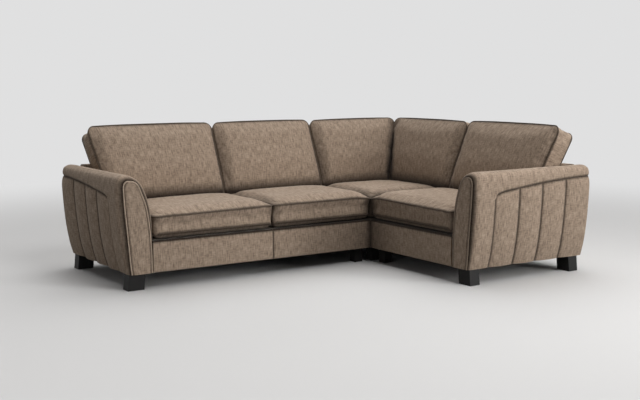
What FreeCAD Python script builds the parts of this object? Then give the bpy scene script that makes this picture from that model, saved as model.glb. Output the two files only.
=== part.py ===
import FreeCAD, Part
import math
import os

# A corner sofa for four: a long run with two seats, a square corner seat and a return with one seat.
# Three units are joined in a row round the corner: the long unit, the corner unit and the return unit.
# Lengths are millimetres, +Z is up, and the fronts face -Y (long run) and -X (return).
# The origin lies on the floor, under the middle of the sofa's overall rectangle.
#
# Everything in a run is drawn in that run's own frame: s goes along the run from left to right as seen
# from its front, v goes from the front border to the back, and z goes up.
# An arm is drawn in a frame of its own: u goes outward from the foot's outer corner, v and z as above.

V = FreeCAD.Vector

# Plan sizes
seat_left = 795.0           # arm to the seam between the two long seats
seat_middle = 729.0         # that seam to the corner unit
seat_right = 808.0          # corner unit to the right arm
unit_depth = 930.0          # front border to the outside of the back
arm_width = 149.0           # an arm at the floor
arm_bulge = 51.0            # how far an arm's outer side swells past its foot

# Heights
foot_height = 93.0
deck_top = 280.0            # where the loose cushions stand
deck_pad = 26.0             # thickness of the padded deck on its webbing
border_step = 3.0           # front border below the deck
arm_height = 657.0
back_top = 655.0            # top of the low back
cushion_top = 900.0         # front upper edge of the back cushions

# Back
rake = math.radians(23.0)
back_depth = 244.0          # outside of the back to the foot of its sloping inner side
back_top_radius = 30.0
back_lip_radius = 12.0
cover_wall = 6.0            # padded cover of the back

# Timber, webbing and cloth
board = 22.0                # thickness of the rails
rib = 20.0                  # thickness of the back ribs
strap_width = 60.0
strap_thick = 2.0
strap_pitch = 105.0         # centre to centre, at most
dust_thick = 2.0

# Front border
border_wall = 14.0
border_lip = 62.0           # how far its top reaches over the deck
border_radius = 13.0

# Feet
foot_across = 100.0
foot_along = 72.0
foot_splay = 9.0            # the outer face leans out by this much
foot_setback = 15.0         # front foot behind the front border
rear_foot_inset = 115.0     # front face of the rear foot before the outside of the back
support_side = 60.0         # hidden square foot
block_side = 80.0           # timber block above it, in a corner of the base frame
block_height = 45.0
bolt_radius = 4.0
bolt_into_foot = 40.0
bolt_into_rail = 30.0

# Arm
arm_panel_thick = 14.0
arm_roll = 32.0             # depth in which the cover rolls out from the front panel
rear_roll = 8.0
piping_width = 9.0
piping_depth = 8.0
quilt_depth = 12.0          # thickness of the channelled padding
quilt_seam = 1.5            # what is left of it in a sewn groove
quilt_front = 160.0         # where the channelled panel begins
quilt_front_drop = 141.0    # its upper edge below the top of the arm, at the front
quilt_rear_drop = 67.0      # and at the back
quilt_corner = 20.0
quilt_channels = 4
arm_box_front = 45.0        # timber box inside the arm
arm_box_rear = 45.0
arm_box_headroom = 107.0    # below the top of the arm
arm_box_inner = 118.0       # its sides, measured inward from the outer foot corner
arm_box_outer = 28.0
arm_board = 18.0

# Loose cushions
seat_rest = 0.3             # air between a cushion and what it lies on
side_gap = 2.5              # half the gap between two neighbours
seat_overhang = 2.0         # seat fronts past the border
seat_to_back = 4.0          # gap between the seats and the back cushions
seat_boxing = 140.0         # height at the upper piping
seat_crown = 32.0
seat_draw = 10.0            # lower edge drawn in
seat_tuck = 3.0             # how far a seat's end is drawn in
back_stand = 65.0           # depth of a back cushion's foot on the deck
back_knee_rise = 175.0      # its front begins to slope this far above the deck
back_thick = 134.0          # at its top edge
back_crown = 36.0
back_edge_crown = 5.0       # crown of its top boxing
back_tuck = 4.0             # how far its ends are drawn in
end_crown = 3.0             # crown left at a cushion's end
back_join = 940.0           # between the left and the middle back cushion
back_past_corner = 33.0     # the next join, past the corner unit's left edge
back_before_corner = 34.0   # the join on the return, before the corner unit
back_end_rise = 120.0       # above the deck, where an end cushion clears the arm
back_end_lean = 0.1625      # end cushions spread over the arm by this slope
back_shoulder = 18.0        # how much lower a cushion's upper corners are

# Join plates under the units
link_length = 120.0
link_width = 40.0
link_thick = 3.0
link_inset = 130.0          # from the front and from the back
run_gap = 1.0               # between an arm's fullest side and the frame or cushion beside it

corner_s = arm_width + seat_left + seat_middle      # left edge of the corner unit in the long run
seam_s = arm_width + seat_left                      # seam between the two long seats
return_end = seat_right + arm_width                 # foot corner of the right arm in the return run
arm_swell = 1.074 * arm_width                       # an arm's inner side at its fullest
rail_bottom = foot_height + dust_thick
strap_top = deck_top - deck_pad
frame_top = strap_top - 2.0 * strap_thick           # top edge of the base rails
border_top = deck_top - border_step
slope = math.tan(rake)
back_foot = unit_depth - back_depth
seat_rail = back_foot - slope * (deck_top - frame_top)    # rear face of the rail behind the seats
back_front = back_foot - back_stand
seat_back_edge = back_front - seat_to_back
quilt_front_height = arm_height - quilt_front_drop
quilt_rear_height = arm_height - quilt_rear_drop
arm_box_top = arm_height - arm_box_headroom
back_end_height = deck_top + back_end_rise
foot_fronts = (("front", foot_setback), ("rear", unit_depth - rear_foot_inset))

os.makedirs("parts", exist_ok=True)


def box(s0, s1, v0, v1, z0, z1):
    return Part.makeBox(s1 - s0, v1 - v0, z1 - z0, V(s0, v0, z0))


def corner_arc(before, corner, after, radius):
    """Tangent points and middle of the arc that rounds one corner of an outline."""
    a = (before - corner).normalize()
    b = (after - corner).normalize()
    half = a.getAngle(b) / 2.0
    reach = radius / math.tan(half)
    middle = (a + b).normalize() * (radius / math.sin(half) - radius)
    return corner + a * reach, corner + middle, corner + b * reach


def rounded_wire(points, radii):
    """Closed wire through the points, each corner rounded by its own radius, or sharp where it is 0."""
    edges = []
    starts = []
    ends = []
    for i, corner in enumerate(points):
        if radii[i] > 0.0:
            first, middle, last = corner_arc(points[i - 1], corner, points[(i + 1) % len(points)], radii[i])
            edges.append(Part.Arc(first, middle, last).toShape())
        else:
            first = last = corner
        starts.append(first)
        ends.append(last)
    for i, end in enumerate(ends):
        start = starts[(i + 1) % len(points)]
        edges.append(Part.LineSegment(end, start).toShape())
    return Part.Wire(Part.__sortEdges__(edges))


def run_prism(outline, s0, s1, radii=None):
    """Solid of one (v, z) outline along a run, sharp where no radii are given."""
    points = [V(s0, v, z) for v, z in outline]
    return Part.Face(rounded_wire(points, radii or [0.0] * len(points))).extrude(V(s1 - s0, 0, 0))


def on_return(shape):
    """Move a shape from the return run's frame into the sofa's."""
    placed = shape.copy()
    placed.rotate(V(0, 0, 0), V(0, 0, 1), -90.0)
    placed.translate(V(corner_s, 0, 0))
    return placed


def arm_on_long(shape):
    """The left arm is the mirror image of the arm as drawn."""
    return shape.mirror(V(0, 0, 0), V(1, 0, 0))


def arm_on_return(shape):
    placed = shape.copy()
    placed.translate(V(return_end, 0, 0))
    return on_return(placed)


def behind_mitre(reach):
    """Half-space on the long run's side of the corner's diagonal, moved off it by reach."""
    far = 3.0 * unit_depth
    a = V(corner_s - far, -far + reach, -far)
    b = V(corner_s + far, far + reach, -far)
    c = V(corner_s - far, far + reach, -far)
    return Part.Face(Part.makePolygon([a, b, c, a])).extrude(V(0, 0, 3.0 * far))


def mitred_long(shape, reach=0.0):
    return shape.common(behind_mitre(reach * math.sqrt(2.0)))


def mirrored_across_corner(shape):
    """Mirror image across the corner's diagonal: from the long run's side to the return's."""
    return shape.mirror(V(corner_s, 0, 0), V(1, -1, 0).normalize())


# Outlines of the arm and of its front panel, from the outer foot corner over the top to the inner one.
# Heights are shares of the arm above the feet. Places across are shares of the arm's bulge on the arm's
# outer side, and of its width elsewhere. Both outlines have as many points, so that one turns into the other.
arm_outer = ((0.0, -0.16), (0.15, 0.29), (0.38, 0.69), (0.66, 0.94), (0.855, 1.0), (0.955, 0.84), (0.99, 0.39))
arm_inner = ((0.998, -0.054), (0.985, -0.27), (0.94, -0.55), (0.85, -0.785), (0.677, -0.993),
             (0.48, -1.074), (0.24, -1.05), (0.0, -1.0))
panel_outer = ((0.0, -0.168), (0.15, -0.107), (0.38, -0.04), (0.66, 0.054), (0.855, 0.091), (0.905, 0.074),
               (0.93, 0.013))
panel_inner = ((0.938, -0.081), (0.928, -0.309), (0.895, -0.456), (0.82, -0.584), (0.677, -0.772),
               (0.48, -0.886), (0.24, -0.946), (0.0, -0.96))
arm_rise = arm_height - foot_height


def outline_points(outer, outer_size, inner):
    points = [V(outer_size * u, 0, foot_height + arm_rise * z) for z, u in outer]
    points += [V(arm_width * u, 0, foot_height + arm_rise * z) for z, u in inner]
    return points


def through(points):
    curve = Part.BSplineCurve()
    curve.interpolate(points)
    return curve


def moved_out(points, offset):
    """The same outline grown by offset, or shrunk where it is negative; its ends stay on their level."""
    curve = through(points)
    moved = []
    for i, point in enumerate(points):
        along = curve.tangent(curve.parameter(point))[0]
        out = V(along.z, 0, -along.x)
        if i in (0, len(points) - 1):
            out = V(1.0 / out.x, 0, 0)
        moved.append(point + out * offset)
    return moved


def blend(first, second, share):
    return [a + (b - a) * share for a, b in zip(first, second)]


def outline_wire(points, v):
    """Closed wire of an outline that stands at v: a smooth curve and a straight bottom edge."""
    curve = through(points).toShape()
    wire = Part.Wire([curve, Part.LineSegment(points[-1], points[0]).toShape()])
    wire.translate(V(0, v, 0))
    return wire


def outline_prism(points, front, rear):
    return Part.Face(outline_wire(points, front)).extrude(V(0, rear - front, 0))


def outer_side(z):
    """How far out the arm's outer side lies at a height below its fullest."""
    curve = through(arm_points)
    low = curve.FirstParameter
    high = curve.parameter(arm_points[len(arm_outer) - 2])
    for _ in range(30):
        middle = (low + high) / 2.0
        if curve.value(middle).z < z:
            low = middle
        else:
            high = middle
    return curve.value(low).x


arm_points = outline_points(arm_outer, arm_bulge, arm_inner)
panel_points = outline_points(panel_outer, arm_width, panel_inner)
piping_points = moved_out(panel_points, piping_width)


def arm_body():
    """The arm as one full body: rolled in at the front to its panel, and a little at the back."""
    stations = [(arm_panel_thick, blend(piping_points, arm_points, 0.0))]
    for turn in (30.0, 55.0, 90.0):
        share = math.sin(math.radians(turn))
        depth = 1.0 - math.cos(math.radians(turn))
        stations.append((arm_panel_thick + arm_roll * depth, blend(piping_points, arm_points, share)))
    stations.append((unit_depth - rear_roll, arm_points))
    stations.append((unit_depth, moved_out(arm_points, -rear_roll)))
    return Part.makeLoft([outline_wire(points, v) for v, points in stations], True, True)


def arm_box():
    """Space for the timber box inside an arm."""
    return box(-arm_box_inner, -arm_box_outer, arm_box_front, unit_depth - arm_box_rear, foot_height,
               arm_box_top)


def quilt_region():
    """Side view of the channelled panel, carried through the arm's outer side."""
    far = 3.0 * (arm_bulge + quilt_depth)
    low = foot_height - quilt_depth
    start = -2.0 * quilt_depth
    high_start = quilt_front_height
    points = [V(start, quilt_front, low), V(start, quilt_front, high_start),
              V(start, unit_depth, quilt_rear_height), V(start, unit_depth, low)]
    wire = rounded_wire(points, [0.0, quilt_corner, 0.0, 0.0])
    return Part.Face(wire).extrude(V(far, 0, 0))


def quilt_groove(v):
    """Sewn groove between two channels: rounded shoulders that follow the arm's swelling side."""
    reach = quilt_depth - quilt_seam
    steps = 8
    wires = []
    for i in range(steps + 1):
        z = foot_height + (quilt_rear_height - foot_height) * (1.04 * i / steps - 0.02)
        bottom = outer_side(z) - reach
        top = bottom + 1.1 * reach
        turn = 1.1 * reach * math.sqrt(0.5)
        width = 1.6 * reach
        apex = V(bottom, v, z)
        left = V(top, v - width, z)
        right = V(top, v + width, z)
        left_middle = V(bottom + turn, v - width + width * math.sqrt(0.5), z)
        right_middle = V(bottom + turn, v + width - width * math.sqrt(0.5), z)
        wires.append(Part.Wire([Part.Arc(apex, left_middle, left).toShape(),
                                Part.LineSegment(left, right).toShape(),
                                Part.Arc(right, right_middle, apex).toShape()]))
    return Part.makeLoft(wires, True, True)


def arm_panel(body):
    """The channelled panel before its grooves are sewn."""
    core = outline_prism(moved_out(arm_points, -quilt_depth), 0.0, 2.0 * unit_depth)
    return body.common(quilt_region()).cut(core)


def arm_channels(panel):
    pitch = (unit_depth - quilt_front) / quilt_channels
    for i in range(1, quilt_channels):
        panel = panel.cut(quilt_groove(quilt_front + i * pitch))
    return panel


def arm_front_panel():
    return outline_prism(panel_points, 0.0, arm_panel_thick)


def arm_piping():
    ring = outline_prism(piping_points, arm_panel_thick - piping_depth, arm_panel_thick)
    return ring.cut(arm_front_panel())


def arm_timber():
    """Open box of boards: two posts, a bottom and a top rail and an inner board."""
    rear = unit_depth - arm_box_rear
    inner = -arm_box_inner
    outer = -arm_box_outer
    low = foot_height
    high = arm_box_top
    post_low = low + 2.0 * arm_board
    post_high = high - arm_board
    bottom = box(inner, outer, arm_box_front, rear, low, post_low)
    top = box(inner, outer, arm_box_front, rear, post_high, high)
    front = box(inner + arm_board, outer, arm_box_front, arm_box_front + board, post_low, post_high)
    back = box(inner + arm_board, outer, rear - board, rear, post_low, post_high)
    side = box(inner, inner + arm_board, arm_box_front, rear, post_low, post_high)
    return [bottom, top, front, back, side]


def arm_foot(front):
    """Tapered block foot, leaning outward."""
    rear = front + foot_along
    low = [V(0, front, 0), V(0, rear, 0), V(-foot_across, rear, 0), V(-foot_across, front, 0)]
    high = [V(-foot_splay, front, foot_height), V(-foot_splay, rear, foot_height),
            V(-foot_across - foot_splay, rear, foot_height), V(-foot_across - foot_splay, front, foot_height)]
    wires = [Part.makePolygon(ring + ring[:1]) for ring in (low, high)]
    return Part.makeLoft(wires, True, True)


def bolt(s, v):
    """Headless bolt that holds a foot to the rail above it."""
    length = bolt_into_foot + bolt_into_rail
    return Part.makeCylinder(bolt_radius, length, V(s, v, foot_height - bolt_into_foot))


def back_outline(skin, bottom):
    """Side view of the low back, shrunk by a skin on all sides but the bottom."""
    rear = unit_depth - skin
    top = back_top - skin
    shift = skin / math.cos(rake) - slope * deck_top
    return [(rear, bottom), (rear, top), (back_foot + shift + slope * top, top),
            (back_foot + shift + slope * bottom, bottom)]


def back_radii(skin):
    return [0.0, back_top_radius - skin, back_lip_radius - skin, 0.0]


def back_cover(s0, s1):
    """Hollow cover of the low back, with the outside panel carried down to the floor frame."""
    outer = run_prism(back_outline(0.0, frame_top), s0, s1, back_radii(0.0))
    hollow = run_prism(back_outline(cover_wall, frame_top), s0, s1, back_radii(cover_wall))
    skirt = box(s0, s1, unit_depth - cover_wall, unit_depth, foot_height, frame_top)
    return outer.cut(hollow).fuse(skirt).removeSplitter()


def rib_outline():
    """A rib fills the cover, less the webbing in front of it."""
    skin = cover_wall
    points = back_outline(skin, frame_top)
    back = strap_thick / math.cos(rake)
    return [points[0], points[1], (points[2][0] + back, points[2][1]), (points[3][0] + back, points[3][1])]


def back_ribs(places, s0, s1):
    """Ribs, and the rails that run through notches in them, along one back."""
    radii = back_radii(cover_wall)
    rear = unit_depth - cover_wall
    rails = [box(s0, s1, rear - board, rear, frame_top, frame_top + 3.0 * board),
             box(s0, s1, rear - board, rear, back_top - 7.0 * board, back_top - 4.0 * board)]
    ribs = []
    for place in places:
        shape = run_prism(rib_outline(), place, place + rib, radii)
        for rail in rails:
            shape = shape.cut(rail)
        ribs.append(shape)
    return ribs + rails


def spread(low, high, pitch, width):
    """Evenly spaced strips of one width between two edges, no further apart than the pitch."""
    count = max(1, int(math.ceil((high - low - width) / pitch)))
    step = (high - low - width) / count
    return [low + i * step for i in range(count + 1)]


def back_straps(s0, s1):
    """Elastic straps along the sloping front of the ribs."""
    low = frame_top + strap_width
    high = back_top - 2.0 * back_top_radius
    front = cover_wall / math.cos(rake) + back_foot - slope * deck_top
    straps = []
    for z in spread(low, high, strap_pitch, strap_width * math.cos(rake)):
        rise = strap_width * math.cos(rake)
        depth = strap_thick / math.cos(rake)
        outline = [(front + slope * z, z), (front + slope * z + depth, z),
                   (front + slope * (z + rise) + depth, z + rise), (front + slope * (z + rise), z + rise)]
        straps.append(run_prism(outline, s0, s1))
    return straps


def seat_straps(s0, s1, v0, v1):
    """Straps from front to back, and a second layer across them."""
    low = frame_top
    high = frame_top + strap_thick
    straps = [box(s, s + strap_width, v0, v1, low, high)
              for s in spread(s0 + board, s1 - board, strap_pitch, strap_width)]
    straps += [box(s0, s1, v, v + strap_width, high, strap_top)
               for v in spread(v0 + border_lip, v1 - board, strap_pitch, strap_width)]
    return straps


def base_rails(s0, s1, v0, cross):
    """Front, seat and rear rails with cross rails between them."""
    seat = seat_rail
    rear = unit_depth - cover_wall
    low = rail_bottom
    rails = [box(s0, s1, v0, v0 + board, low, frame_top),
             box(s0, s1, seat - board, seat, low, frame_top),
             box(s0, s1, rear - board, rear, low, frame_top)]
    for s in cross:
        rails.append(box(s, s + board, v0 + board, seat - board, low, frame_top))
        rails.append(box(s, s + board, seat, rear - board, low, frame_top))
    return rails


def deck(s0, s1, v0):
    """Padded deck between the front border and the sloping back."""
    outline = [(v0, strap_top), (v0, deck_top), (back_foot, deck_top),
               (back_foot - slope * (deck_top - strap_top), strap_top)]
    return run_prism(outline, s0, s1)


def border(s0, s1):
    """Padded front border whose top rolls over the front of the deck."""
    outline = [(0.0, foot_height), (0.0, border_top), (border_lip, border_top), (border_lip, strap_top),
               (border_wall, strap_top), (border_wall, foot_height)]
    return run_prism(outline, s0, s1, [0.0, border_radius, 0.0, 0.0, 0.0, 0.0])


def dust_cover(s0, s1, v0):
    return box(s0, s1, v0, unit_depth - cover_wall, foot_height, foot_height + dust_thick)


def foot_block(s, v):
    half = block_side / 2.0
    return box(s - half, s + half, v - half, v + half, rail_bottom, rail_bottom + block_height)


def support_foot(s, v):
    half = support_side / 2.0
    return box(s - half, s + half, v - half, v + half, 0.0, foot_height)


def link_plates(s):
    """Two flat plates that hold two units together from below."""
    half = link_length / 2.0
    return [box(s - half, s + half, v, v + link_width, foot_height - link_thick, foot_height)
            for v in (link_inset, unit_depth - link_inset - link_width)]


def swell(t):
    """Share of the full crown at the place t, 0 to 1, across a cushion."""
    return 1.0 - abs(2.0 * t - 1.0) ** 2.6


def across(s0, s1):
    """Places of the sections across a cushion: close together near its ends."""
    shares = (0.0, 0.02, 0.06, 0.14, 0.27, 0.5, 0.73, 0.86, 0.94, 0.98, 1.0)
    return [(share, s0 + share * (s1 - s0)) for share in shares]


def seat_cushion(s0, s1, v0, v1):
    """Boxed seat cushion: flat below, lower edges drawn in, crowned on top."""
    low = deck_top + seat_rest
    wires = []
    for share, s in across(s0, s1):
        full = swell(share)
        draw = seat_draw * (1.0 - 0.5 * full)
        tuck = seat_tuck * (1.0 - full)
        top = low + seat_boxing - tuck
        crown = end_crown + (seat_crown - end_crown) * full
        middle = (v0 + v1) / 2.0
        a = V(s, v0 + draw, low)
        b = V(s, v0 + tuck, top)
        c = V(s, v1 - tuck, top)
        d = V(s, v1 - draw, low)
        rise = (low + top) / 2.0
        wires.append(Part.Wire([
            Part.Arc(a, V(s, v0 + tuck, rise), b).toShape(),
            Part.Arc(b, V(s, middle, top + crown), c).toShape(),
            Part.Arc(c, V(s, v1 - tuck, rise), d).toShape(),
            Part.LineSegment(d, a).toShape()]))
    return Part.makeLoft(wires, True, True)


def back_cushion(s0, s1):
    """Boxed back cushion: upright behind the seats, then sloping back with a crowned front."""
    low = deck_top + seat_rest
    back_knee = deck_top + back_knee_rise
    rear = back_foot - seat_rest / math.cos(rake)
    wires = []
    for share, s in across(s0, s1):
        full = swell(share)
        tuck = back_tuck * (1.0 - full)
        top = cushion_top - back_shoulder * (1.0 - full)
        crown = end_crown + (back_crown - end_crown) * full
        knee = V(s, back_front + tuck, back_knee)
        upper = V(s, back_front + tuck + slope * (top - back_knee), top)
        rear_z = top - back_thick * math.sin(rake)
        rear_upper = V(s, rear + slope * (rear_z - deck_top) - tuck, rear_z)
        rear_lower = V(s, rear - tuck, low)
        foot = V(s, back_front + tuck, low)
        front_middle = (knee + upper) * 0.5 + V(0, -math.cos(rake), math.sin(rake)) * crown
        top_middle = (upper + rear_upper) * 0.5 + V(0, math.sin(rake), math.cos(rake)) * back_edge_crown
        wires.append(Part.Wire([
            Part.LineSegment(foot, knee).toShape(),
            Part.Arc(knee, front_middle, upper).toShape(),
            Part.Arc(upper, top_middle, rear_upper).toShape(),
            Part.LineSegment(rear_upper, rear_lower).toShape(),
            Part.LineSegment(rear_lower, foot).toShape()]))
    return Part.makeLoft(wires, True, True)


def arm_side_trim(s_edge, outward):
    """Wedge that slopes an end cushion's outer side over the arm; outward is -1 or 1 along s."""
    far = 3.0 * unit_depth
    high = 2.0 * cushion_top
    low = frame_top
    at_low = s_edge - outward * back_end_lean * (back_end_height - low)
    at_high = s_edge + outward * back_end_lean * (high - back_end_height)
    points = [V(at_low, 0, low), V(at_high, 0, high), V(s_edge + outward * far, 0, high),
              V(s_edge + outward * far, 0, low), V(at_low, 0, low)]
    return Part.Face(Part.makePolygon(points)).extrude(V(0, far, 0))


nodes = {}


def keep(name, shapes):
    """Hold one node: a single solid, or several that belong together."""
    solids = []
    for shape in shapes if isinstance(shapes, list) else [shapes]:
        solids += shape.Solids
    nodes[name] = solids


def cut_all(shapes, tools):
    cut = []
    for shape in shapes if isinstance(shapes, list) else [shapes]:
        for tool in tools:
            shape = shape.cut(tool)
        cut.append(shape)
    return cut


def make_arms(body, bolts):
    panel = arm_panel(body)
    channels = arm_channels(panel)
    cover = body.cut(panel).cut(arm_box())
    timber = cut_all(arm_timber(), bolts)
    for side, place in (("left", arm_on_long), ("right", arm_on_return)):
        keep(side + "_arm_cover", place(cover))
        keep(side + "_arm_channels", place(channels))
        keep(side + "_arm_front_panel", place(arm_front_panel()))
        keep(side + "_arm_piping", place(arm_piping()))
        keep(side + "_arm_timber", [place(s) for s in timber])
        for end, front in foot_fronts:
            foot = cut_all(arm_foot(front), bolts)
            keep(side + "_" + end + "_foot", place(foot[0]))


def make_unit(name, place, s0, s1, strap_end, v0, cross, supports):
    """Base frame, webbing, dust cover and hidden feet of one unit; returns the bolts of its feet."""
    bolts = [bolt(s, v) for s, v in supports]
    timber = base_rails(s0, s1, v0, cross) + [foot_block(s, v) for s, v in supports]
    keep(name + "_base_frame", [place(r) for r in cut_all(timber, bolts)])
    keep(name + "_seat_webbing", [place(p) for p in seat_straps(s0, strap_end, v0, seat_rail)])
    cloth = cut_all(dust_cover(s0, s1, v0), bolts)
    keep(name + "_dust_cover", place(cloth[0]))
    for letter, (s, v) in zip("ab", supports):
        foot = cut_all(support_foot(s, v), bolts)
        keep(name + "_support_foot_" + letter, place(foot[0]))
    return [place(b) for b in bolts]


def as_drawn(shape):
    return shape


# Arms, with the bolts of their feet; the same body trims whatever meets an arm
arm_bolt_u = -(foot_across + foot_splay) / 2.0
arm_bolts = [bolt(arm_bolt_u, front + foot_along / 2.0) for end, front in foot_fronts]
arm_solid = arm_body()
make_arms(arm_solid, arm_bolts)
left_trim = [arm_on_long(arm_solid), arm_on_long(arm_piping()), arm_on_long(arm_front_panel())]
right_trim = [s.copy() for s in (arm_solid, arm_piping(), arm_front_panel())]
for solid in right_trim:
    solid.translate(V(return_end, 0, 0))
all_bolts = [arm_on_long(b) for b in arm_bolts] + [arm_on_return(b) for b in arm_bolts]

# Places of the hidden feet in a unit's corners
in_corner = board + block_side / 2.0
front_support = border_wall + in_corner
rear_support = unit_depth - cover_wall - in_corner

# Long unit
long_start = arm_swell + run_gap
cross_long = [long_start, seam_s - board / 2.0, corner_s - board]
long_supports = [(corner_s - in_corner, front_support), (corner_s - in_corner, rear_support)]
all_bolts += make_unit("long", as_drawn, long_start, corner_s, corner_s, border_wall, cross_long,
                       long_supports)
keep("long_deck", deck(long_start, corner_s, border_lip))
keep("long_back_frame", back_ribs([long_start, seam_s - rib / 2.0, corner_s - rib], long_start, corner_s))
keep("long_back_webbing", back_straps(long_start, corner_s))
keep("long_back_cover", cut_all(back_cover(0.5 * arm_width, corner_s), left_trim))
keep("left_border", cut_all(border(0.5 * arm_width, seam_s), left_trim))
keep("middle_border", border(seam_s, corner_s))

# Return unit
return_stop = return_end - long_start
cross_return = [0.0, return_stop - board]
return_supports = [(in_corner, front_support), (in_corner, rear_support)]
all_bolts += make_unit("return", on_return, 0.0, return_stop, return_stop, border_wall, cross_return,
                       return_supports)
keep("return_deck", on_return(deck(0.0, return_stop, border_lip)))
keep("return_back_frame", [on_return(s) for s in back_ribs([0.0, return_stop - rib], 0.0, return_stop)])
keep("return_back_webbing", [on_return(s) for s in back_straps(0.0, return_stop)])
return_trimmed = cut_all(back_cover(0.0, return_end - 0.5 * arm_width), right_trim)
keep("return_back_cover", [on_return(s) for s in return_trimmed])
return_trimmed = cut_all(border(0.0, return_end - 0.5 * arm_width), right_trim)
keep("return_border", [on_return(s) for s in return_trimmed])

# Corner unit: a square base with a back on two sides, mitred where they meet
corner_end = corner_s + unit_depth
seat_end = corner_s + seat_rail
far_rail = corner_end - cover_wall
cross_corner = [corner_s, seat_end - board, far_rail - board]
corner_supports = [(corner_s + in_corner, in_corner), (far_rail - in_corner, rear_support)]
all_bolts += make_unit("corner", as_drawn, corner_s, far_rail, seat_end, 0.0, cross_corner, corner_supports)
long_side = deck(corner_s, corner_end, 0.0)
keep("corner_deck", long_side.common(mirrored_across_corner(long_side)))
mitre_cover = mitred_long(back_cover(corner_s, corner_end))
keep("corner_back_cover_left", mitre_cover)
keep("corner_back_cover_right", mirrored_across_corner(mitre_cover))
rib_places = [corner_s, seat_end - rib]
mitre_ribs = [mitred_long(s) for s in back_ribs(rib_places, corner_s, corner_end)]
mitre_straps = [mitred_long(s) for s in back_straps(corner_s, corner_end)]
keep("corner_back_frame_left", mitre_ribs)
keep("corner_back_frame_right", [mirrored_across_corner(s) for s in mitre_ribs])
keep("corner_back_webbing", mitre_straps + [mirrored_across_corner(s) for s in mitre_straps])

# Plates under the joins, and all the foot bolts
keep("long_join_plates", link_plates(corner_s))
keep("return_join_plates", [on_return(s) for s in link_plates(0.0)])
keep("foot_bolts", all_bolts)

# Seat cushions
seat_start = arm_swell + side_gap + run_gap
keep("left_seat_cushion", seat_cushion(seat_start, seam_s - side_gap, -seat_overhang, seat_back_edge))
keep("middle_seat_cushion",
     seat_cushion(seam_s + side_gap, corner_s - side_gap, -seat_overhang, seat_back_edge))
keep("corner_seat_cushion",
     seat_cushion(corner_s + side_gap, corner_s + seat_back_edge, side_gap, seat_back_edge))
keep("right_seat_cushion", on_return(seat_cushion(side_gap, return_end - seat_start, -seat_overhang,
                                                  seat_back_edge)))

# Back cushions; the two in the corner are mitred, and the end ones lean out over the arms
over_arm = back_end_lean * (cushion_top - back_end_height)
long_joint = corner_s + back_past_corner
keep("left_back_cushion",
     back_cushion(seat_start - over_arm, back_join - side_gap).cut(arm_side_trim(seat_start, -1)))
keep("middle_back_cushion", back_cushion(back_join + side_gap, long_joint - side_gap))
keep("corner_back_cushion_left", mitred_long(back_cushion(long_joint + side_gap, corner_end), side_gap))
return_joint = corner_s - back_before_corner
keep("corner_back_cushion_right",
     mirrored_across_corner(mitred_long(back_cushion(return_joint + side_gap, corner_end), side_gap)))
right_edge = return_end - seat_start
keep("right_back_cushion",
     on_return(back_cushion(back_before_corner + side_gap, right_edge + over_arm)
               .cut(arm_side_trim(right_edge, 1))))

# Move everything over the origin and write one file for each node
centre = V((corner_end - arm_bulge) / 2.0, (unit_depth - return_end - arm_bulge) / 2.0, 0)
for name, solids in nodes.items():
    moved = []
    for solid in solids:
        copy = solid.copy()
        copy.translate(-centre)
        moved.append(copy)
    shape = moved[0] if len(moved) == 1 else Part.makeCompound(moved)
    shape.exportStep("parts/" + name + ".step")
    volume = sum(solid.Volume for solid in moved)
    print(name, len(moved), "solids", round(volume / 1.0e6, 3), "litres", "valid" if shape.isValid() else "BAD")
print(len(nodes), "nodes")
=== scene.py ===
# %% [markdown]
# # A corner sofa with channelled arms
# The real sofa is three timber frames joined round a corner, padded and covered in a mottled taupe
# chenille. Loose boxed cushions, piped along their edges, lie on it. The frame, feet and joints come from
# a CAD model that is already packed, and this lesson dresses it: each cover and cushion is made as its own
# piece of cloth, and each hidden part gets a proper finish.

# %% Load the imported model
import math
import bmesh
import bpy
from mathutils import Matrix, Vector, noise


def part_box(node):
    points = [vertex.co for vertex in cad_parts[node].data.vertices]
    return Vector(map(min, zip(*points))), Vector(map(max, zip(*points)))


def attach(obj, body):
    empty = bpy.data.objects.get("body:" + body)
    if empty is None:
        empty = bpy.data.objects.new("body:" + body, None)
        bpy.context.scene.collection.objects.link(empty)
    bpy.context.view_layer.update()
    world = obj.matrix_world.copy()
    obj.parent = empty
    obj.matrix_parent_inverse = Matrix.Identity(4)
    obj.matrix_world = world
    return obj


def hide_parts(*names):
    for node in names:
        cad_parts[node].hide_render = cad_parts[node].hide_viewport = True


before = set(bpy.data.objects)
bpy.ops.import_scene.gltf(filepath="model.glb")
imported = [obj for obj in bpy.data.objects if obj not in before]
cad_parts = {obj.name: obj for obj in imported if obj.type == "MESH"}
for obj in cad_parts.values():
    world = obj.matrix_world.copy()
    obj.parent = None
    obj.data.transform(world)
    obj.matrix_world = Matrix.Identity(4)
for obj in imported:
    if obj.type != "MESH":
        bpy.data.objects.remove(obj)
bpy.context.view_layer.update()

# %% [markdown]
# ## Two runs and two arms
# A sofa maker measures along a run: s from the left foot corner, v from the front border to the back, and
# z up. The return is the same run turned by a right angle, and an arm is drawn outward from its foot. So
# the same drawing serves both runs and both arms, and only these few functions know where they stand.

# %% Places in the frame, from millimetres to metres
mm = 0.001
arm_width, arm_bulge, unit_depth = 149.0, 51.0, 930.0
seam_s, corner_s, return_end = 944.0, 1673.0, 957.0
middle_s, middle_v = 1276.0, -39.0
rake = math.radians(23.0)
lean = math.tan(rake)


def on_long(s, v, z):
    return Vector((s - middle_s, v - middle_v, z)) * mm


def on_return(s, v, z):
    return Vector((v + (corner_s - middle_s), -s - middle_v, z)) * mm


def across_corner(s, v, z):
    return on_return(corner_s - s, v, z)


def on_left_arm(u, v, z):
    return on_long(-u, v, z)


def on_right_arm(u, v, z):
    return on_return(return_end + u, v, z)


print("the corner unit starts at x", round(on_long(corner_s, 0, 0).x, 3), "m")

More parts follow.
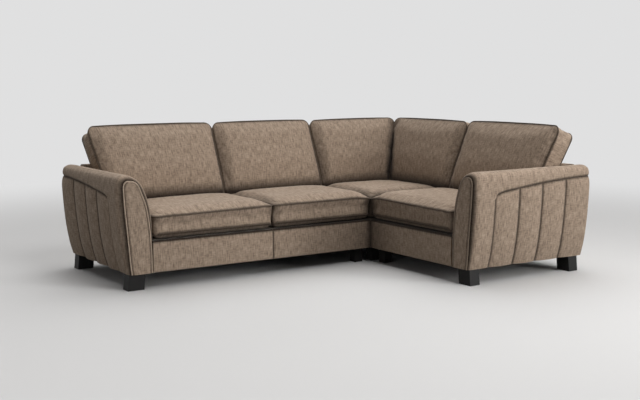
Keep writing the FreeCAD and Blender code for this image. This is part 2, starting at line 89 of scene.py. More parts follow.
# %% [markdown]
# ## The camera
# The photograph was taken a little above the seats, from the left of the long run. The place and the lens
# were worked out from the sofa's own straight edges, so the picture has the photograph's perspective.

# %% Camera
def add_object(name, data):
    """A new object in the scene."""
    added = bpy.data.objects.new(name, data)
    bpy.context.collection.objects.link(added)
    return added


camera = add_object("camera", bpy.data.cameras.new("camera"))
camera.location = (-3.477, -5.321, 1.215)
camera.rotation_euler = (math.radians(83.02), 0.0, math.radians(-33.03))
camera.rotation_euler.rotate_axis("Z", math.radians(-0.24))
camera.data.lens = 57.99
camera.data.sensor_width = 36.0
bpy.context.scene.camera = camera
bpy.context.scene.view_settings.view_transform = "Standard"
print("camera", round(camera.location.length, 2), "m from the middle of the sofa")

# %% [markdown]
# ## Small helpers for shader nodes
# Every finish is a node tree. These helpers place a node, set its sockets by name and link it, so that the
# cells below read like a recipe.

# %% Node helpers
def connect(tree, value, socket):
    if isinstance(value, bpy.types.NodeSocket):
        tree.links.new(value, socket)
    else:
        socket.default_value = value


def feed(tree, node, **sockets):
    """Gives a node's named sockets their values or links."""
    for name, value in sockets.items():
        connect(tree, value, node.inputs[name.replace("_", " ")])
    return node


def put(tree, kind, **sockets):
    """A new node whose named sockets hold values or links."""
    node = tree.nodes.new(kind)
    node.location = (220 * (len(tree.nodes) % 8), -260 * (len(tree.nodes) // 8))
    return feed(tree, node, **sockets)


def product(tree, first, second):
    """Two vectors multiplied; each is a value or a socket."""
    node = tree.nodes.new("ShaderNodeVectorMath")
    node.operation = "MULTIPLY"
    connect(tree, first, node.inputs[0])
    connect(tree, second, node.inputs[1])
    return node.outputs[0]


def sum_up(tree, operation, first, second=None, third=None):
    """One arithmetic step; each term is a number or a socket."""
    node = tree.nodes.new("ShaderNodeMath")
    node.operation = operation
    for socket, value in zip(node.inputs, (first, second, third)):
        if value is not None:
            connect(tree, value, socket)
    return node.outputs[0]


def mix_colour(tree, share, first, second, way="MIX"):
    node = tree.nodes.new("ShaderNodeMix")
    node.data_type = "RGBA"
    node.blend_type = way
    for index, value in ((0, share), (6, first), (7, second)):
        connect(tree, value, node.inputs[index])
    return node.outputs[2]


def new_group(name, inputs, outputs):
    """A node group with named sockets; returns its tree, its input node and its output node."""
    tree = bpy.data.node_groups.new(name, "ShaderNodeTree")
    for label, kind in inputs:
        tree.interface.new_socket(label, in_out="INPUT", socket_type="NodeSocket" + kind)
    for label, kind in outputs:
        tree.interface.new_socket(label, in_out="OUTPUT", socket_type="NodeSocket" + kind)
    return tree, tree.nodes.new("NodeGroupInput"), tree.nodes.new("NodeGroupOutput")


def use_group(tree, group, **sockets):
    node = tree.nodes.new("ShaderNodeGroup")
    node.node_tree = group
    return feed(tree, node, **sockets)


def new_material(name):
    """An empty material with a Principled shader; returns the material, its tree and the shader."""
    material = bpy.data.materials.new(name)
    material.use_nodes = True
    tree = material.node_tree
    tree.nodes.clear()
    shader = tree.nodes.new("ShaderNodeBsdfPrincipled")
    output = tree.nodes.new("ShaderNodeOutputMaterial")
    tree.links.new(shader.outputs[0], output.inputs[0])
    return material, tree, shader


print("helpers ready")

# %% [markdown]
# ## A plain studio
# The photograph shows a pale grey sweep with no visible horizon. The floor is a wide disc that keeps the
# sofa's shadow, and fades far out into the colour of the world behind it. The pale tone is the colour of
# floor and world as the camera sees them, so the sofa is not over-lit to get it.

# %% Floor and world
backdrop_tone = (0.745, 0.745, 0.747, 1.0)
floor_radius, fade_start, fade_end = 40.0, 2.6, 6.2
floor_mesh = bpy.data.meshes.new("studio_floor")
angles = [math.tau * i / 96 for i in range(96)]
rim = [Vector((floor_radius * math.cos(a), floor_radius * math.sin(a), 0.0)) for a in angles]
floor_mesh.from_pydata(rim, [], [list(range(96))])
floor = add_object("studio_floor", floor_mesh)


def seen_by(tree, *rays):
    """1 where one of these kinds of ray looks, else 0."""
    paths = put(tree, "ShaderNodeLightPath")
    seen = paths.outputs[rays[0]]
    for ray in rays[1:]:
        seen = sum_up(tree, "MAXIMUM", seen, paths.outputs[ray])
    return seen


def blend(tree, share, first, second, output):
    """Sends a mix of two shaders to an output."""
    mixed = put(tree, "ShaderNodeMixShader", Fac=share)
    for node, socket in ((first, mixed.inputs[1]), (second, mixed.inputs[2]), (mixed, output.inputs[0])):
        tree.links.new(node.outputs[0], socket)


material, tree, shader = new_material("studio floor")
tone = mix_colour(tree, seen_by(tree, "Is Camera Ray"), (0.33, 0.33, 0.33, 1.0), (0.655, 0.658, 0.665, 1.0))
feed(tree, shader, Base_Color=tone, Roughness=0.85, Specular_IOR_Level=0.1)
far = put(tree, "ShaderNodeVectorMath", Vector=put(tree, "ShaderNodeTexCoord").outputs["Object"])
far.operation = "LENGTH"
fade = put(tree, "ShaderNodeMapRange", Value=far.outputs["Value"], From_Min=fade_start, From_Max=fade_end)
fade.interpolation_type = "SMOOTHSTEP"
glow = put(tree, "ShaderNodeEmission", Color=backdrop_tone)
glowing = sum_up(tree, "MULTIPLY", fade.outputs[0], seen_by(tree, "Is Camera Ray", "Is Glossy Ray"))
blend(tree, glowing, shader, glow, tree.nodes["Material Output"])
floor_mesh.materials.append(material)

world = bpy.data.worlds.new("studio world")
world.use_nodes = True
bpy.context.scene.world = world
tree = world.node_tree
tree.nodes.clear()
soft = put(tree, "ShaderNodeBackground", Color=(1.0, 0.99, 0.98, 1.0), Strength=0.05)
pale = put(tree, "ShaderNodeBackground", Color=backdrop_tone, Strength=1.0)
blend(tree, seen_by(tree, "Is Camera Ray", "Is Glossy Ray", "Is Transmission Ray"), soft, pale,
      put(tree, "ShaderNodeOutputWorld"))
print("floor of", 2.0 * floor_radius, "m across, fading out from", fade_start, "m")

# %% [markdown]
# A very soft sky light comes from above and a little behind: it lights the seats and the whole floor
# evenly, and leaves the soft dark zone in front of the base that the photograph shows. Three soft boxes
# at the front light the faces of the long run and the outer side of the right arm, and leave the fronts
# of the return in shade: a high one, a low one further right and a weak one far left.

# %% Lights
def lamp(name, kind, energy, towards):
    """A slightly warm light that shines in a direction."""
    light = bpy.data.lights.new(name, kind)
    light.energy = energy
    light.color = (1.0, 0.985, 0.965)
    holder = add_object(name, light)
    holder.rotation_euler = towards.to_track_quat("-Z", "Y").to_euler()
    return holder


def soft_box(name, place, size, watts, aim=(0.0, 0.0, 0.35)):
    holder = lamp(name, "AREA", watts, Vector(aim) - Vector(place))
    holder.location = place
    holder.data.shape = "DISK"
    holder.data.size = size
    return holder


sky = lamp("sky_light", "SUN", 2.15, Vector((-0.25, -0.36, -0.88)))
sky.data.angle = math.radians(75.0)
soft_box("high_box", (0.5, -4.5, 6.0), 3.0, 155.0)
low_box = soft_box("low_box", (3.2, -5.6, 1.9), 2.4, 32.0, (0.2, -0.3, 0.5))
low_box.data.spread = math.radians(70.0)
soft_box("left_box", (-6.0, -3.0, 2.0), 2.6, 24.0, (0.3, 0.0, 0.4))
print("a sky light and three soft boxes")

# %% [markdown]
# ## Chenille
# Chenille is woven from fat, furry yarns of uneven thickness, so the cloth is mottled by short streaks
# that run both ways. A noise that is squeezed one way makes the streaks of the warp, the same noise turned
# makes those of the weft, and a broad one the soft patches. The yarns themselves are two fine waves that
# only show close up. Each cloth panel carries its own measured coordinates, so the weave follows it.

# %% Group: streaked weave
weave, given, made = new_group(
    "streaked weave",
    [("Cloth", "Vector"), ("Streak", "Float"), ("Yarn", "Float"), ("Contrast", "Float"),
     ("Light", "Color"), ("Dark", "Color")],
    [("Colour", "Color"), ("Height", "Float")])


def streaks(tree, cloth, width, along, turn):
    """Noise drawn out along one direction of the cloth."""
    wide = sum_up(tree, "DIVIDE", 1.0, width)
    long = sum_up(tree, "DIVIDE", wide, along)
    scale = put(tree, "ShaderNodeCombineXYZ", X=long if turn else wide, Y=wide if turn else long)
    stretched = product(tree, cloth, scale.outputs[0])
    return put(tree, "ShaderNodeTexNoise", Vector=stretched, Scale=1.0, Detail=1.0, Roughness=0.4).outputs[0]


cloth = given.outputs["Cloth"]
streak = given.outputs["Streak"]
warp = streaks(weave, cloth, streak, 8.0, False)
weft = streaks(weave, cloth, streak, 5.0, True)
patch = put(weave, "ShaderNodeTexNoise", Vector=cloth, Scale=26.0, Detail=2.0, Roughness=0.6).outputs[0]
tone = sum_up(weave, "MULTIPLY_ADD", weft, 0.6, warp)
tone = sum_up(weave, "MULTIPLY_ADD", patch, 0.5, tone)
tone = sum_up(weave, "SUBTRACT", tone, 1.05)
tone = sum_up(weave, "MULTIPLY_ADD", tone, given.outputs["Contrast"], 0.5)
clamped = put(weave, "ShaderNodeClamp", Value=tone).outputs[0]
colour = mix_colour(weave, clamped, given.outputs["Dark"], given.outputs["Light"])
parts = put(weave, "ShaderNodeSeparateXYZ", Vector=cloth)
turns = sum_up(weave, "DIVIDE", math.tau, given.outputs["Yarn"])
waves = [sum_up(weave, "SINE", sum_up(weave, "MULTIPLY", parts.outputs[way], turns)) for way in (0, 1)]
yarns = sum_up(weave, "MULTIPLY", *waves)
feed(weave, made, Colour=colour, Height=sum_up(weave, "MULTIPLY_ADD", yarns, 0.35, clamped))
print("streaked weave:", len(weave.nodes), "nodes")

# %% [markdown]
# Cloth looks darker where it dips into a seam, because less light gets there. That shade is painted into
# the colour: each panel stores how near a point is to its seam, and this group darkens the colour by that.
# The same stored share also carries painted shade under and between the cushions.

# %% Group: seam shade
seam_shade, given, made = new_group(
    "seam shade", [("Colour", "Color"), ("Crease", "Float"), ("Depth", "Float")], [("Colour", "Color")])
# Painted shade: the colour is mixed toward a dark multiple of itself by the stored share
share = sum_up(seam_shade, "MULTIPLY", given.outputs["Crease"], given.outputs["Depth"])
dark = mix_colour(seam_shade, 1.0, given.outputs["Colour"], (0.07, 0.06, 0.055, 1.0), "MULTIPLY")
feed(seam_shade, made, Colour=mix_colour(seam_shade, share, given.outputs["Colour"], dark))
print("seam shade ready")

# %% Cloth finishes
def woven(name, light, dark, streak=0.0058, yarn=0.0016, contrast=1.6, sheen=0.14, bump=0.25, depth=1.0):
    """A cloth: streaks, painted seam shade, and a bump of its yarns."""
    material, tree, shader = new_material(name)
    coords = tree.nodes.new("ShaderNodeUVMap")
    coords.uv_map = "cloth"
    # The share of painted shade that each point of a piece stores
    painted_shade = tree.nodes.new("ShaderNodeAttribute")
    painted_shade.attribute_name = "painted_shade"
    threads = use_group(tree, weave, Cloth=coords.outputs[0], Streak=streak, Yarn=yarn, Contrast=contrast,
                        Light=light + (1.0,), Dark=dark + (1.0,))
    shaded = use_group(tree, seam_shade, Colour=threads.outputs["Colour"], Crease=painted_shade.outputs["Fac"],
                       Depth=depth)
    relief = put(tree, "ShaderNodeBump", Strength=bump, Distance=0.0015, Height=threads.outputs["Height"])
    feed(tree, shader, Base_Color=shaded.outputs[0], Normal=relief.outputs[0], Roughness=0.92,
         Specular_IOR_Level=0.2, Sheen_Weight=sheen, Sheen_Roughness=0.45, Sheen_Tint=(1.0, 0.93, 0.85, 1.0))
    return material


chenille = woven("taupe chenille", (0.47, 0.365, 0.28), (0.215, 0.16, 0.118))
# The piping is self-fabric, so these cords paint light and shade: the dark one stands for the shadow along
# seams, the pale one is a lit copy for the left arm and the plain one a shaded copy for the right arm
seam_shadow_piping = woven("seam shadow piping", (0.14, 0.105, 0.08), (0.07, 0.052, 0.04), streak=0.004, sheen=0.1)
lit_copy_piping = woven("lit copy piping", (0.58, 0.46, 0.36), (0.41, 0.32, 0.245), streak=0.004)
shaded_copy_piping = woven("shaded copy piping", (0.33, 0.255, 0.195), (0.21, 0.16, 0.12), streak=0.004)
deck_cloth = woven("deck cloth", (0.16, 0.13, 0.105), (0.10, 0.08, 0.065), streak=0.003, sheen=0.05)
dust_cloth = woven("dust cloth", (0.05, 0.05, 0.05), (0.025, 0.025, 0.025), streak=0.002, sheen=0.0)
strap_cloth = woven("elastic webbing", (0.26, 0.22, 0.18), (0.10, 0.085, 0.07), streak=0.006,
                    yarn=0.004, contrast=1.4, sheen=0.0)
print("seven cloths")

# %% [markdown]
# ## Making cloth pieces
# A panel is a grid of points. Its two directions are measured along the surface, and these lengths are its
# cloth coordinates in metres. Panels with shared edges are welded into one piece, as a seam does.

# %% Piece helpers
def steps(points):
    """Running length along a row of points."""
    run = [0.0]
    for a, b in zip(points, points[1:]):
        run.append(run[-1] + (b - a).length)
    return run


def link_piece(name, mesh, material, body, nodes):
    """Puts a mesh in the scene as a piece that rides on a body and stands for its CAD nodes."""
    piece = add_object(name, mesh)
    mesh.materials.clear()
    mesh.materials.append(material)
    mesh.polygons.foreach_set("use_smooth", [True] * len(mesh.polygons))
    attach(piece, body)
    if nodes:
        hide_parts(*nodes)
    return piece


def new_mesh(name, verts, faces, coords, marks):
    """A mesh with cloth coordinates at the corners of its faces and a share of painted shade at each point.
    """
    mesh = bpy.data.meshes.new(name)
    mesh.from_pydata(verts, [], faces)
    mesh.uv_layers.new(name="cloth").data.foreach_set("uv", [c for pair in coords for c in pair])
    mesh.attributes.new("painted_shade", "FLOAT", "POINT").data.foreach_set("value", marks)
    return mesh


def squares(rows, columns):
    """The four corners (i, j) of each square of a grid."""
    return [((i, j), (i, j + 1), (i + 1, j + 1), (i + 1, j)) for i in range(rows) for j in range(columns)]


def cloth_mesh(name, panels, painted_shades=(), along_rows=False):
    """One mesh from panels, each a list of rows of points; the first panels come with a share of painted
    seam shade for each point, and the other panels have none. The warp runs across the rows, or along them."""
    verts, faces, coords, marks = [], [], [], []
    for number, rows in enumerate(panels):
        start, wide = len(verts), len(rows[0])
        across = steps(rows[len(rows) // 2])
        down = steps([row[wide // 2] for row in rows])
        for row in rows:
            verts += row
        marks += painted_shades[number] if number < len(painted_shades) else [0.0] * (len(rows) * wide)
        for corners in squares(len(rows) - 1, wide - 1):
            faces.append([start + a * wide + b for a, b in corners])
            coords += [(down[a], across[b]) if along_rows else (across[b], down[a]) for a, b in corners]
    return new_mesh(name, verts, faces, coords, marks)


def weld(mesh, gap=0.00005):
    """Joins points that coincide, if a gap is given, and turns all faces outward."""
    work = bmesh.new()
    work.from_mesh(mesh)
    if gap:
        bmesh.ops.remove_doubles(work, verts=work.verts, dist=gap)
    bmesh.ops.recalc_face_normals(work, faces=work.faces)
    work.to_mesh(mesh)
    work.free()
    return mesh


def face_away(mesh, centre):
    """Turns an open sheet so that its faces look away from a point."""
    turned = sum(p.normal.dot(p.center - centre) * p.area for p in mesh.polygons)
    if turned < 0.0:
        mesh.flip_normals()
    return mesh


def tube(points, radius, up, closed=False, sides=8):
    """Rows of points round a path, for piping."""
    rows = []
    count = len(points)
    for i, point in enumerate(points):
        before = points[(i - 1) % count] if closed or i else point
        after = points[(i + 1) % count] if closed or i < count - 1 else point
        along = (after - before).normalized()
        side = along.cross(up).normalized()
        other = side.cross(along)
        rows.append([point + (side * math.cos(a) + other * math.sin(a)) * radius
                     for a in (math.tau * k / sides for k in range(sides + 1))])
    if closed:
        rows.append(rows[0])
    return rows


def piping_piece(name, paths, radius, up, body, nodes=(), material=None):
    panels = [tube(points, radius * mm, Vector(up), closed) for points, closed in paths]
    mesh = weld(cloth_mesh(name, panels))
    # Unless another cloth is given, a cord takes the dark piping cloth, which paints the shadow along a seam
    return link_piece(name, mesh, material or seam_shadow_piping, body, nodes)


def spline_at(points, t):
    """Point on a smooth curve through the given ones; t counts them."""
    last = len(points) - 1
    i = max(0, min(int(t), last - 1))
    f = t - i
    b, c = points[i], points[i + 1]
    a = points[i - 1] if i > 0 else b * 2.0 - c
    d = points[i + 2] if i + 2 <= last else c * 2.0 - b
    return (b * 2.0 + (c - a) * f + (a * 2.0 - b * 5.0 + c * 4.0 - d) * f ** 2
            + (b * 3.0 - a - c * 3.0 + d) * f ** 3) * 0.5


def ruffle(point, size, seed=0.0):
    """Slow unevenness between -1 and 1."""
    return noise.noise(point / (size * mm) + Vector((seed, seed * 1.7, -seed)))


print("piece helpers ready")

# %% [markdown]
# ## The arms
# An arm is a padded timber box with a swelling outer side. Its cover is sewn from a front panel framed by
# piping, a smooth band that runs up the front and back along the top, and an outer panel of four upright
# channels under a curved seam. One skin is drawn round the arm's outline and along its depth, with its
# grid lines laid on the seams. Then it is puffed between them, and cut into band and channels.

# %% Outlines of an arm
arm_rise, foot_height = 564.0, 93.0
full_outline = [(arm_bulge * u, z) for z, u in (
    (0.0, -0.16), (0.15, 0.29), (0.38, 0.69), (0.66, 0.94), (0.855, 1.0), (0.955, 0.84), (0.99, 0.39))]
full_outline += [(arm_width * u, z) for z, u in (
    (0.998, -0.054), (0.985, -0.27), (0.94, -0.55), (0.85, -0.785), (0.677, -0.993), (0.48, -1.074),
    (0.24, -1.05), (0.0, -1.0))]
panel_outline = [(arm_width * u, z) for z, u in (
    (0.0, -0.168), (0.15, -0.107), (0.38, -0.04), (0.66, 0.054), (0.855, 0.091), (0.905, 0.074),
    (0.93, 0.013), (0.938, -0.081), (0.928, -0.309), (0.895, -0.456), (0.82, -0.584), (0.677, -0.772),
    (0.48, -0.886), (0.24, -0.946), (0.0, -0.96))]
full_outline, panel_outline = ([Vector((u, 0.0, foot_height + arm_rise * z)) for u, z in outline]
                               for outline in (full_outline, panel_outline))
outline_end = len(full_outline) - 1.0


def height_mark(points, z):
    """The curve's own counter where its outer side reaches a height."""
    low, high = 0.0, 4.6
    for _ in range(30):
        middle = (low + high) / 2.0
        low, high = (middle, high) if spline_at(points, middle).z < z else (low, middle)
    return low


def grown(points, t, offset):
    """Point on an outline moved outward; the outline's ends stay level."""
    ahead = spline_at(points, min(t + 0.02, len(points) - 1.0))
    behind = spline_at(points, max(t - 0.02, 0.0))
    along = (ahead - behind).normalized()
    out = Vector((along.z, 0.0, -along.x))
    if t < 0.001 or t > len(points) - 1.001:
        out = Vector((1.0 / out.x, 0.0, 0.0))
    return spline_at(points, t) + out * offset


print("arm", round(full_outline[4].x - full_outline[12].x), "mm wide at its fullest")

# %% The channel seams of an arm
quilt_front = 160.0
channel_seams = (quilt_front, 352.0, 536.0, 729.0, unit_depth)
seam_line = [Vector((v, 0.0, z)) for v, z in (
    (quilt_front, 520.0), (225.0, 537.0), (345.0, 551.0), (533.0, 570.0), (725.0, 583.0),
    (unit_depth, 592.0))]


def falloff(distance, reach):
    """1 at a place, and 0 from its reach on."""
    return max(0.0, 1.0 - distance / reach)


def arc_drop(share):
    """How far a quarter circle has dropped at a share of its radius."""
    return 1.0 - math.sqrt(max(0.0, 1.0 - share * share))


def seam_height(v):
    """Height of the curved seam above the channels; it turns down in a short arc at its front end."""
    v = max(v, quilt_front)
    i = max(k for k in range(5) if seam_line[k].x <= v + 0.001)
    z = spline_at(seam_line, i + (v - seam_line[i].x) / (seam_line[i + 1].x - seam_line[i].x)).z
    return z - 26.0 * arc_drop(falloff(v - quilt_front, 22.0))


print("seam rises from", round(seam_height(quilt_front)), "to", round(seam_height(unit_depth)), "mm")

# %% The skin of an arm
def eased(low, high, count, ends="both"):
    """Numbers from low to high, closer together at one or both ends."""
    if ends == "both":
        shares = [(1.0 - math.cos(math.pi * k / count)) / 2.0 for k in range(count + 1)]
    elif ends == "high":
        shares = [math.sin(math.pi / 2.0 * k / count) for k in range(count + 1)]
    else:
        shares = [1.0 - math.cos(math.pi / 2.0 * k / count) for k in range(count + 1)]
    return [low + (high - low) * share for share in shares]


def clamp(share):
    return max(0.0, min(1.0, share))


def pillow(share):
    """Rises steeply from a seam and levels off; share is 0 at the seam and 1 at the crest."""
    return math.sqrt(1.0 - (1.0 - clamp(share)) ** 2.2)


roll_steps, below_seam, above_seam = 9, 56, 120
seam_depth, channel_puff, band_roll = 13.0, 5.0, 30.0
skin_front, roll_end, rear_round = 5.0, 46.0, 36.0
roll_depth = roll_end - skin_front
stations = [roll_end - roll_depth * math.cos(math.pi / 2.0 * k / roll_steps) for k in range(roll_steps)]
stations += eased(roll_end, quilt_front, 16, "high")[:-1]
for start, end in zip(channel_seams, channel_seams[1:]):
    stations += eased(start, min(end, unit_depth - rear_round), 22)[:-1]
stations += [unit_depth - rear_round * (1.0 - math.sin(math.pi / 2.0 * k / 9)) for k in range(10)]


def rear_shrink(v):
    """How far the outline is drawn in where the arm rounds off to its rear."""
    return 20.0 * arc_drop(max(0.0, (v - unit_depth + rear_round) / rear_round))


def puff(v, k, up):
    """How far a point of the skin stands out from the outline, and how near it is to a seam."""
    if k <= below_seam and v >= quilt_front:
        channel = max(i for i in range(4) if channel_seams[i] <= v + 0.001)
        near = min(v - channel_seams[channel], channel_seams[channel + 1] - v)
        half = (channel_seams[channel + 1] - channel_seams[channel]) / 2.0
        if channel == 3:
            near, half = v - channel_seams[3], 110.0
        lift = math.sin(math.pi / 2.0 * min(1.0, near / half)) ** 0.7 * pillow(up / 70.0)
        return lift * (seam_depth + channel_puff) - seam_depth, min(near, up)
    gap = up
    if v < quilt_front:
        gap = math.hypot(quilt_front - v, up) if k > below_seam else quilt_front - v
    return pillow(gap / band_roll) * (seam_depth + 1.0) - seam_depth, gap


def arm_skin():
    """Grid of points (u, v, z) of the whole skin, and each point's share of painted seam shade."""
    grid, marks = [], []
    for v in stations:
        seam_t = height_mark(full_outline, seam_height(v))
        ts = eased(0.0, seam_t, below_seam, "high") + eased(seam_t, outline_end, above_seam, "low")[1:]
        roll = math.sin(math.acos(clamp((roll_end - v) / roll_depth)))
        row, row_marks = [], []
        lengths = steps([spline_at(full_outline, t) for t in ts])
        for k, t in enumerate(ts):
            outer = grown(full_outline, t, -rear_shrink(v))
            base = grown(panel_outline, t, 4.0).lerp(outer, roll)
            out = (grown(full_outline, t, 1.0) - spline_at(full_outline, t)).normalized()
            move, gap = puff(v, k, abs(lengths[k] - lengths[below_seam]))
            if v <= roll_end:
                move *= roll
            row.append(base + out * move + Vector((0.0, v, 0.0)))
            # Painted shade: darker near the seams and near the front edge of the skin
            row_marks.append(falloff(min(gap, v - skin_front), 16.0) ** 1.25)
        grid.append(row)
        marks.append(row_marks)
    return grid, marks


skin, skin_marks = arm_skin()
print("arm skin:", len(skin), "by", len(skin[0]), "points")

# %% Cut the skin into band and channels, and close the arm
first_channel = stations.index(quilt_front)
rear_steps, rear_across = 60, 10


def placed(rows, place, seed=0.0, rough=0.0):
    """Rows of (u, v, z) points put in the frame, with a little unevenness."""
    def put_down(p):
        return place(p.x, p.y, p.z) + Vector((1, 1, 1)) * (ruffle(p * mm, 60.0, seed) * rough * mm)
    return [[put_down(p) for p in row] for row in rows]


def thinned(line, count, pick=round):
    """Evenly picked points of a line, both ends included."""
    return [line[pick(k * (len(line) - 1) / count)] for k in range(count + 1)]


def fill_between(left, right, count):
    """A sheet between two lines of equal length."""
    return [[a.lerp(b, k / count) for k in range(count + 1)] for a, b in zip(left, right)]


def cover_piece(name, node, panels, painted_shades, centre, along_rows=True):
    """A padded chenille cover on the carcass, whose faces look away from its own centre."""
    mesh = face_away(weld(cloth_mesh(name, panels, painted_shades, along_rows)), centre)
    link_piece(name, mesh, chenille, "carcass", [node])


def arm_cover(side, place, seed, centre):
    """The channels, and the band with the closed rear and underside of the arm."""
    channels = [row[:below_seam + 1] for row in skin[first_channel:]]
    marks = [m for row in skin_marks[first_channel:] for m in row[:below_seam + 1]]
    cover_piece(side + "_arm_flutes", side + "_arm_channels", [placed(channels, place, seed, 0.7)], [marks],
                centre)
    half = (below_seam + above_seam) // 2 - 6
    edges = (thinned(line, rear_steps, int) for line in (skin[-1][:half + 1], skin[-1][half:][::-1]))
    rear = fill_between(*edges, rear_across)
    for row in rear:
        for k, point in enumerate(row):
            row[k] = point + Vector((0.0, 3.0 * pillow(min(k, rear_across - k) / 3.0), 0.0))
    under = fill_between([row[0] for row in skin], [row[-1] for row in skin], 8)
    over = [row[below_seam:] for row in skin[first_channel:]]
    panels = [placed(part, place, seed, 0.7) for part in (skin[:first_channel + 1], over)]
    panels += [placed(part, place) for part in (rear, under)]
    marks = [[m for row in skin_marks[:first_channel + 1] for m in row],
             [m for row in skin_marks[first_channel:] for m in row[below_seam:]]]
    cover_piece(side + "_arm_band", side + "_arm_cover", panels, marks, centre)


print("the band goes round", len(skin[0]) - below_seam, "points of each row")

# %% The front panel and the cords of an arm
panel_top, pad_rows, pad_back = 7.2, 56, 13.0


def toward(place, s, v, z):
    """A direction of a run or an arm, in the frame."""
    return place(s, v, z) - place(0.0, 0.0, 0.0)


def arm_front(side, place, seed, centre, cord):
    """The front panel, a thin pad inside its outline, and the piping round it."""
    shares = eased(0.0, 1.0, 14)
    up_outside = [spline_at(panel_outline, panel_top * k / pad_rows) for k in range(pad_rows + 1)]
    up_inside = [spline_at(panel_outline, outline_end - (outline_end - panel_top) * k / pad_rows)
                 for k in range(pad_rows + 1)]
    pad, marks = [], []
    for k, (a, b) in enumerate(zip(up_outside, up_inside)):
        below = pad_rows - k
        top = pillow(below / 9.0)
        pad.append([a.lerp(b, x) + Vector((0.0, 9.0 - 11.0 * pillow(min(x, 1.0 - x) * 5.0) * top, 0.0))
                    for x in shares])
        # Painted shade: darker near the pad's piped edges
        marks += [falloff(min((a - b).length * min(x, 1.0 - x), below * 6.0), 14.0) ** 1.2 for x in shares]
    back_face = [[Vector((p.x, pad_back, p.z)) for p in row] for row in pad]
    cover_piece(side + "_arm_front", side + "_arm_front_panel",
                [placed(pad, place, seed + 3.0, 0.5), placed(back_face, place)], [marks], centre, False)
    edge = [grown(panel_outline, outline_end * k / 150, 2.0) + Vector((0.0, 3.5, 0.0)) for k in range(151)]
    path = [place(p.x, p.y, p.z) for p in edge]
    piping_piece(side + "_arm_piping_cord", [(path, False)], 4.2, toward(place, 0.0, -1.0, 0.0), "carcass",
                 [side + "_arm_piping"], cord)


def arm_seams(side, place):
    """Thin dark seam cords between the channels and along their curved seam; their dark cloth paints the
    seams' shadow.
    """
    lines = [skin[stations.index(v)][:below_seam + 1] for v in channel_seams[:4]]
    lines.append([row[below_seam] for row in skin[first_channel:-4]])
    paths = [([place(p.x + 0.6, p.y, p.z) for p in line], False) for line in lines]
    piping_piece(side + "_arm_seams", paths, 1.8, (0.3, 0.2, 0.9), "carcass")


# The arm cords paint light and shade: the left arm's front is lit, so its cord is a paler copy of the cloth,
# and the right arm's front is in shade, so its cord is a darker copy
for side, place, seed, cord in (("left", on_left_arm, 1.0, lit_copy_piping),
                                ("right", on_right_arm, 5.0, shaded_copy_piping)):
    centre = place(-60.0, 465.0, 350.0)
    arm_cover(side, place, seed, centre)
    arm_front(side, place, seed, centre, cord)
    arm_seams(side, place)
print("two arms, each of band, flutes, front pad, piping and seams")

# %% [markdown]
# ## Borders, low backs and decks
# The border is the padded strip under the seats. It is drawn as a profile that starts on the deck, rolls
# over the front edge and turns under, and is swept along the run. The low back is swept in the same way,
# from its sloping inner side over the top and down the outside. A seam crosses the long border under the
# gap between its two seats.

# %% Sweep a profile along a run
def round_corner(before, corner, after, radius, count=6):
    """Points of an arc that replaces a corner of a profile in (v, z)."""
    a, b = (before - corner).normalized(), (after - corner).normalized()
    half = a.angle(b) / 2.0
    cut = radius / math.tan(half)
    middle = corner + (a + b).normalized() * (radius / math.sin(half))
    start, end = corner + a * cut, corner + b * cut
    arc = []
    for k in range(count + 1):
        ray = (start - middle).lerp(end - middle, k / count).normalized()
        arc.append(middle + ray * radius)
    return arc


def profile(points, radii, pitch=9.0):
    """A closely stepped profile from its corners and their radii."""
    corners = [Vector((v, z)) for v, z in points]
    line = [corners[0]]
    for i in range(1, len(corners) - 1):
        if radii[i]:
            line += round_corner(corners[i - 1], corners[i], corners[i + 1], radii[i])
        else:
            line.append(corners[i])
    line.append(corners[-1])
    fine = [line[0]]
    for a, b in zip(line, line[1:]):
        count = max(1, round((b - a).length / pitch))
        fine += [a.lerp(b, k / count) for k in range(1, count + 1)]
    return fine


border_low, border_top, border_start = 93.5, 277.0, 152.0


def bow(share):
    """Rises from 0 to 1 and falls again."""
    return max(0.0, math.sin(math.pi * clamp(share)))


def border_piece(side, place, s0, s1, seam=None, shaded_end=None):
    """Seam is where the border is sewn to the next one, and shaded_end where painted shade darkens it at the
    inner corner.
    """
    line = profile([(62.0, border_top), (0.0, border_top), (0.0, border_low), (16.0, border_low)],
                   [0, 13.0, 5.0, 0])
    count = round((s1 - s0) / 9.0)
    rows, marks = [], []
    for s in (s0 + (s1 - s0) * k / count for k in range(count + 1)):
        near = 200.0 if seam is None else abs(s - seam)
        # Painted shade: darker in the seam and towards the inner corner
        mark = falloff(near, 9.0) ** 1.5 * 0.9
        if shaded_end is not None:
            far = abs(s - shaded_end)
            mark = max(mark, 0.95 * (1.0 - far / 70.0), 0.5 * (1.0 - far / 300.0))
        row = []
        for v, z in line:
            face = bow((z - 93.0) / 184.0) if v < 8.0 else 0.0
            swell = 3.5 * face * pillow(near / 40.0) - 3.0 * (1.0 - pillow(near / 14.0)) * (v < 14.0)
            wrinkle = 0.9 * ruffle(Vector((s, z * 0.3, 0.0)) * mm, 38.0, 4.0) * face
            row.append(place(s, v - swell - wrinkle, z))
            # Painted shade also darkens the border's top, under the seat cushions
            marks.append(max(mark, clamp((z - 261.0) / 9.0)))
        rows.append(row)
    centre = place((s0 + s1) / 2.0, 60.0, 185.0)
    cover_piece(side + "_border_pad", side + "_border", [rows], [marks], centre)


border_piece("left", on_long, border_start, seam_s, seam_s)
border_piece("middle", on_long, seam_s, corner_s, seam_s, corner_s)
border_piece("return", on_return, 0.0, return_end - border_start, None, 0.0)
